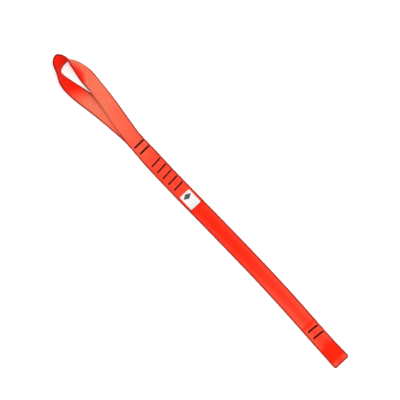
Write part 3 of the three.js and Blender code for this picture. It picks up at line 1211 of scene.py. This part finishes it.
def tube(name: str, line: Array, radius: float, sides: int = 6) -> bpy.types.Object:
    """A thread: a round section carried along a line, closed at both ends.

    Each ring stands square to the line, turned from a fixed direction, and a flat cap closes each end.

    Args:
        name: the piece's name.
        line: the points that its middle follows.
        radius: the thread's radius.
        sides: points round the section.

    Returns:
        The object, with a UV map of length and way round.
    """
    tangent = unit(np.gradient(line, axis=0))
    side = unit(np.cross(tangent, np.array([0.13, 0.07, 1.0])))
    over = np.cross(side, tangent)
    angle = 2.0 * np.pi * np.arange(sides) / sides
    rings = line[:, None, :] + radius * (
        np.cos(angle)[None, :, None] * side[:, None, :] + np.sin(angle)[None, :, None] * over[:, None, :]
    )
    count = len(line)
    index = np.arange(count * sides).reshape(count, sides)
    ahead = np.roll(index, -1, axis=1)
    quads = np.stack([index[:-1], ahead[:-1], ahead[1:], index[1:]], axis=-1).reshape(-1, 4)
    mesh = bpy.data.meshes.new(name)
    caps = [index[0][::-1].tolist(), index[-1].tolist()]
    faces = quads.tolist() + caps
    mesh.from_pydata(rings.reshape(-1, 3).tolist(), [], faces)
    along = arc_length(line)
    u = np.stack([along[:-1], along[:-1], along[1:], along[1:]], axis=-1)[:, None, :].repeat(sides, axis=1)
    v_low = angle * radius
    v_high = (angle + 2.0 * np.pi / sides) * radius
    v = np.broadcast_to(np.stack([v_low, v_high, v_high, v_low], axis=-1), u.shape)
    loops = np.zeros((len(mesh.loops), 2), np.float32)
    loops[: u.size, 0] = u.reshape(-1)
    loops[: u.size, 1] = v.reshape(-1)
    mesh.uv_layers.new(name="thread").data.foreach_set("uv", loops.ravel())
    mesh.polygons.foreach_set("use_smooth", np.ones(len(mesh.polygons), bool))
    return link(name, mesh)


def joined(name: str, parts: Sequence[bpy.types.Object]) -> bpy.types.Object:
    """Joins meshes that are sewn of one thread into one piece."""
    first = parts[0]
    with bpy.context.temp_override(active_object=first, selected_editable_objects=list(parts)):
        bpy.ops.object.join()
    first.name = name
    first.data.name = name
    return first


@dataclass
class BarTacks:
    """The bar tacks: a close zigzag over five core stitches, a bare zigzag underneath, and two carry threads.

    Attributes:
        course: where the webbing lies.
        material: the thread's finish.
        thread: the thread's radius.
        pitch: from one zigzag stitch to the next.
        carried: pairs of tack numbers that a carry thread joins.
    """

    course: Course
    material: bpy.types.Material
    thread: float = 0.33 * MM
    pitch: float = 0.46 * MM
    carried: tuple[tuple[int, int], ...] = ((4, 5), (6, 7))

    def top(self, tack: Tack) -> float:
        """The height of the cloth under a tack's upper side."""
        level = Level(tack.plies - 1)
        pressed_half = self.course.webbing.thickness / 2.0 * 0.72
        return self.course.level_height(level) - 0.34 * MM * level.value + pressed_half

    def zigzag(self, tack: Tack, height: float, up: float) -> Array:
        """The zigzag's line: across the bar and back, arched over the cloth and down at each hole."""
        count = int(tack.length / self.pitch)
        half = tack.width / 2.0 + 0.25 * MM
        steps = np.arange(count * 6 + 1) / 6.0
        swing = 2.0 * np.abs((steps % 2.0) - 1.0) - 1.0
        y = -tack.length / 2.0 + self.thread + steps / count * (tack.length - 2.0 * self.thread)
        arch = np.sqrt(np.clip(1.0 - swing**2, 0.0, 1.0))
        x = tack.x + half * swing - tack.lean(y)
        z = height + up * (0.30 * MM * arch + 0.02 * MM)
        return np.stack([x, tack.y + y, z], axis=1)

    def core(self, tack: Tack, height: float, offset: float) -> Array:
        """A core stitch along the bar."""
        y = np.linspace(-tack.length / 2.0 + 0.6 * MM, tack.length / 2.0 - 0.6 * MM, 24)
        x = tack.x + offset - tack.lean(y)
        return np.stack([x, tack.y + y, np.full_like(y, height)], axis=1)

    def build_one(self, tack: Tack) -> bpy.types.Object:
        """Makes one bar tack."""
        name = f"tack_{tack.number}"
        top = self.top(tack)
        under = self.thread + 0.02 * MM
        parts = [
            tube(f"{name}_over", self.zigzag(tack, top + 0.12 * MM, 1.0), self.thread),
            tube(f"{name}_under", self.zigzag(tack, under + 0.05 * MM, 0.0), self.thread),
        ]
        for n, offset in enumerate((-1.4 * MM, -0.7 * MM, 0.0, 0.7 * MM, 1.4 * MM)):
            parts.append(tube(f"{name}_core_{n}", self.core(tack, top + 0.02 * MM, offset), 0.38 * MM))
        piece = dress(joined(f"{name}_stitching", parts), self.material)
        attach(piece, tack.body)
        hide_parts(f"bar_tack_{tack.number}")
        return piece

    def build_carry(self, first: Tack, second: Tack) -> bpy.types.Object:
        """Makes the thread carried from one tack's +Y end to the next one's, lying on the cloth."""
        s = np.linspace(0.0, 1.0, 16)
        x = (first.x - 0.7 * first.slant) * (1.0 - s) + (second.x - 0.7 * second.slant) * s
        y = (first.y + first.length / 2.0 - 0.5 * MM) + 0.5 * MM * np.sin(np.pi * s)
        z = self.top(first) + 0.2 * MM + 0.85 * MM * np.sin(np.pi * s) ** 0.6
        piece = tube(f"carry_thread_{first.number}_{second.number}", np.stack([x, y, z], axis=1), 0.28 * MM)
        dress(piece, self.material)
        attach(piece, first.body)
        return piece

    def build(self) -> list[bpy.types.Object]:
        """Makes every tack and carry thread."""
        by_number = {tack.number: tack for tack in self.course.tacks}
        made = [self.build_one(tack) for tack in self.course.tacks]
        made += [self.build_carry(by_number[a], by_number[b]) for a, b in self.carried]
        log.info("%d bar tacks and %d carry threads", len(self.course.tacks), len(self.carried))
        return made


# ---------------------------------------------------------------- label


@dataclass
class Label:
    """The sewn-on tag, its two rows of stitching and what is printed on it.

    Attributes:
        course: where the webbing lies.
        tag: the tag's finish.
        ink: the mark's finish.
        faint: the rules' finish.
        thread: the stitching's finish.
        corner: the radius of its corners.
        thickness: through the tag.
    """

    course: Course
    tag: bpy.types.Material
    ink: bpy.types.Material
    faint: bpy.types.Material
    thread: bpy.types.Material
    corner: float = 1.2 * MM
    thickness: float = 0.5 * MM

    def surface(self) -> float:
        """The height of the webbing under the tag."""
        webbing = self.course.webbing
        return self.course.level_height(Level.TOP) + webbing.thickness / 2.0 + webbing.rib_depth

    def build(self) -> list[bpy.types.Object]:
        """Makes the tag and what is on it."""
        return [self.build_tag(), *self.build_stitching(), self.build_mark(), self.build_rules()]

    def build_tag(self) -> bpy.types.Object:
        """Makes the tag: a thin band along Y, narrowed in quarter rounds at its two ends."""
        _, middle, high = span("label")
        half_x, half_y = high.x - middle.x, high.y - middle.y
        angle = np.linspace(0.0, math.pi / 2.0, 10)
        corner_y = half_y - self.corner * (1.0 - np.sin(angle))
        y = np.concatenate([-corner_y[::-1], np.linspace(-corner_y[0], corner_y[0], 40)[1:-1], corner_y])
        past = np.clip((np.abs(y) - (half_y - self.corner)) / self.corner, 0.0, 1.0)
        reach = half_x - self.corner * (1.0 - np.sqrt(1.0 - past**2))
        z = self.surface() + self.thickness / 2.0 + 0.03 * MM + 0.05 * MM * np.cos(y / half_y * 7.0)
        lower = np.stack([middle.x + reach, middle.y + y, z], axis=1)
        upper = np.stack([middle.x - reach, middle.y + y, z], axis=1)
        weave = Cloth(self.thickness, ribs=24, rib_depth=0.0, edge_steps=6, rib_steps=1)
        piece = dress(Band(lower, upper, weave).build("label_tag"), self.tag)
        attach(piece, "splice")
        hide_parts("label")
        return piece

    def build_stitching(self) -> list[bpy.types.Object]:
        """Makes a row of short stitches across each end of the tag."""
        top = self.surface() + self.thickness + 0.03 * MM
        made = []
        for n in (1, 2):
            low, middle, high = span(f"label_stitching_{n}")
            count = 7
            pitch = (high.y - low.y) / count
            s = np.linspace(-1.0, 1.0, 9)
            parts = []
            for k in range(count):
                y = low.y + (k + 0.5) * pitch + 0.42 * pitch * s
                z = top + 0.10 * MM - 0.16 * MM * s**4
                line = np.stack([np.full_like(y, middle.x), y, z], axis=1)
                parts.append(tube(f"stitch_{n}_{k}", line, 0.16 * MM))
            piece = dress(joined(f"label_stitch_row_{n}", parts), self.thread)
            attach(piece, "splice")
            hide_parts(f"label_stitching_{n}")
            made.append(piece)
        return made

    def build_mark(self) -> bpy.types.Object:
        """Makes the printed mark: a plain lozenge of ink."""
        _, middle, high = span("label_mark")
        half_x, half_y = high.x - middle.x, high.y - middle.y
        y = np.linspace(-half_y * 0.97, half_y * 0.97, 40)
        reach = half_x * (1.0 - np.abs(y) / half_y)
        z = np.full_like(y, self.surface() + self.thickness + 0.10 * MM)
        lower = np.stack([middle.x + reach, middle.y + y, z], axis=1)
        upper = np.stack([middle.x - reach, middle.y + y, z], axis=1)
        film = Cloth(0.06 * MM, ribs=8, rib_depth=0.0, edge_steps=3, rib_steps=1)
        piece = dress(Band(lower, upper, film).build("label_print_mark"), self.ink)
        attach(piece, "splice")
        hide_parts("label_mark")
        return piece

    def build_rules(self) -> bpy.types.Object:
        """Makes three plain printed rules across the tag."""
        low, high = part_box("label")
        z_top = self.surface() + self.thickness + 0.08 * MM
        parts = []
        for n, share in enumerate((0.72, 0.79, 0.86)):
            x = low.x + share * (high.x - low.x)
            y = np.linspace(low.y + 3.4 * MM, high.y - 3.4 * MM, 12)
            lower = np.stack([np.full_like(y, x + 0.28 * MM), y, np.full_like(y, z_top)], axis=1)
            upper = np.stack([np.full_like(y, x - 0.28 * MM), y, np.full_like(y, z_top)], axis=1)
            film = Cloth(0.06 * MM, ribs=2, rib_depth=0.0, edge_steps=3, rib_steps=1)
            parts.append(Band(lower, upper, film).build(f"rule_{n}"))
        piece = dress(joined("label_print_rules", parts), self.faint)
        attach(piece, "splice")
        return piece


# ---------------------------------------------------------------- studio


@dataclass
class Studio:
    """The floor, the light and the camera, straight above the sling.

    Attributes:
        aim: the point on the floor in the middle of the view.
        view_width: the width of floor that the view takes in.
        camera_height: from the floor to the camera.
        turn: the angle from +X to the view's right, about +Z.
    """

    aim: tuple[float, float] = (-7.3 * MM, 10.3 * MM)
    view_width: float = 571.4 * MM
    camera_height: float = 8.0
    turn: float = math.radians(46.78)

    def build(self) -> None:
        """Makes the studio."""
        self.build_camera()
        self.build_floor()
        self.build_light()

    def build_camera(self) -> None:
        """Makes the camera: its lens is the sensor's width times the height over the view's width."""
        data = bpy.data.cameras.new("camera")
        data.sensor_width = 36.0
        data.lens = data.sensor_width * self.camera_height / self.view_width
        data.clip_end = 100.0
        camera = bpy.data.objects.new("camera", data)
        bpy.context.scene.collection.objects.link(camera)
        place = Matrix.Translation((*self.aim, self.camera_height))
        camera.matrix_world = place @ Matrix.Rotation(self.turn, 4, "Z")
        bpy.context.scene.camera = camera

    def build_floor(self) -> None:
        """Makes the pale floor."""
        mesh = bpy.data.meshes.new("floor")
        half = 6.0
        z = -0.02 * MM
        corners = [(-half, -half, z), (half, -half, z), (half, half, z), (-half, half, z)]
        mesh.from_pydata(corners, [], [(0, 1, 2, 3)])
        floor = link("floor", mesh)
        material, nodes, shader = new_material("pale_floor", {"Specular IOR Level": 0.1, "Roughness": 0.9})
        place = nodes.add("ShaderNodeTexCoord").outputs["Object"]
        tone = nodes.mix(nodes.noise(place, 3.0), (0.93, 0.93, 0.93, 1.0), (0.95, 0.95, 0.95, 1.0))
        nodes.tree.links.new(tone, shader.inputs["Base Color"])
        mesh.materials.append(material)

    def add_panel(self, name: str, place: tuple[float, float, float], size: float, power: float) -> None:
        """Adds a square soft light that faces the sling."""
        data = bpy.data.lights.new(name, "AREA")
        data.shape = "SQUARE"
        data.size = size
        data.energy = power
        light = bpy.data.objects.new(name, data)
        light.visible_camera = False
        bpy.context.scene.collection.objects.link(light)
        toward = Vector(place).to_track_quat("Z", "Y")
        light.matrix_world = Matrix.Translation(place) @ toward.to_matrix().to_4x4()

    def build_light(self) -> None:
        """Makes the even white surround and two soft panels."""
        world = bpy.data.worlds.new("studio")
        world.use_nodes = True
        world.node_tree.nodes["Background"].inputs["Color"].default_value = (1.0, 1.0, 1.0, 1.0)
        world.node_tree.nodes["Background"].inputs["Strength"].default_value = 0.6
        bpy.context.scene.world = world
        self.add_panel("overhead_panel", (0.1, 0.1, 1.7), 3.0, 62.0)
        self.add_panel("side_panel", (0.4, 0.9, 1.3), 0.5, 3.0)
        bpy.context.scene.view_settings.view_transform = "Standard"


# ---------------------------------------------------------------- the whole


def build_sling() -> list[bpy.types.Object]:
    """Makes every piece of the sling."""
    tail_low, tail_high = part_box("tail_back_ply")
    strap_low, strap_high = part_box("strap_upper_back_ply")
    thickness = tail_high.z - tail_low.z
    webbing = Cloth(thickness - 0.1 * MM, ribs=18, rib_depth=0.09 * MM)
    front_low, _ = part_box("tail_front_ply")
    eye_low, eye_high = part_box("small_eye_loop")
    course = Course(
        webbing=webbing,
        width=26.0 * MM,
        neck_width=24.0 * MM,
        eye_width=eye_high.y - eye_low.y,
        gap=front_low.z - tail_high.z + 0.1 * MM,
        tacks=find_tacks(),
    )
    orange = WebbingFinish().build()
    dark_thread = ThreadFinish("dark_thread", (0.058, 0.0045, 0.0028, 1.0), (0.022, 0.0018, 0.0012, 1.0)).build()
    white_thread = ThreadFinish("label_sewing", (0.42, 0.41, 0.39, 1.0), (0.26, 0.25, 0.24, 1.0)).build()
    tag = TagFinish("woven_tag", (0.56, 0.56, 0.55, 1.0), (0.42, 0.42, 0.415, 1.0), 0.6).build()
    ink = TagFinish("tag_ink", (0.040, 0.042, 0.040, 1.0), (0.07, 0.07, 0.07, 1.0), 0.5).build()
    faint = TagFinish("tag_grey_ink", (0.40, 0.42, 0.45, 1.0), (0.50, 0.52, 0.55, 1.0), 0.5).build()
    maker = WebbingMaker(course, orange)
    first, second = (tack.x for tack in course.tacks[:2])
    third, fourth = (tack.x for tack in course.tacks[2:4])
    neck_end = (first + second) / 2.0
    bend_end = (third + fourth) / 2.0
    ends = (-1.0 * MM, 60.0 * MM, 163.0 * MM, 232.0 * MM)
    pieces: list[bpy.types.Object] = []
    pieces += BigEye(maker, neck_end).build()
    pieces += Splice(maker, neck_end, bend_end, ends[0]).build()
    pieces += Strap(maker, ends, pillow=(ends[0], 229.0 * MM)).build()
    pieces += SmallEye(maker, ends[-1]).build()
    pieces += BarTacks(course, dark_thread).build()
    pieces += Label(course, tag, ink, faint, white_thread).build()
    return pieces


def main() -> None:
    """Builds the studio and the sling, and logs each piece's face count and the number of pieces."""
    logging.basicConfig(level=logging.INFO, format="%(name)s: %(message)s")
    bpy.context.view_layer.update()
    Studio().build()
    pieces = build_sling()
    for piece in pieces:
        log.info("%s: %d faces", piece.name, len(piece.data.polygons))
    log.info("%d pieces", len(pieces))


if __name__ == "__main__":
    main()
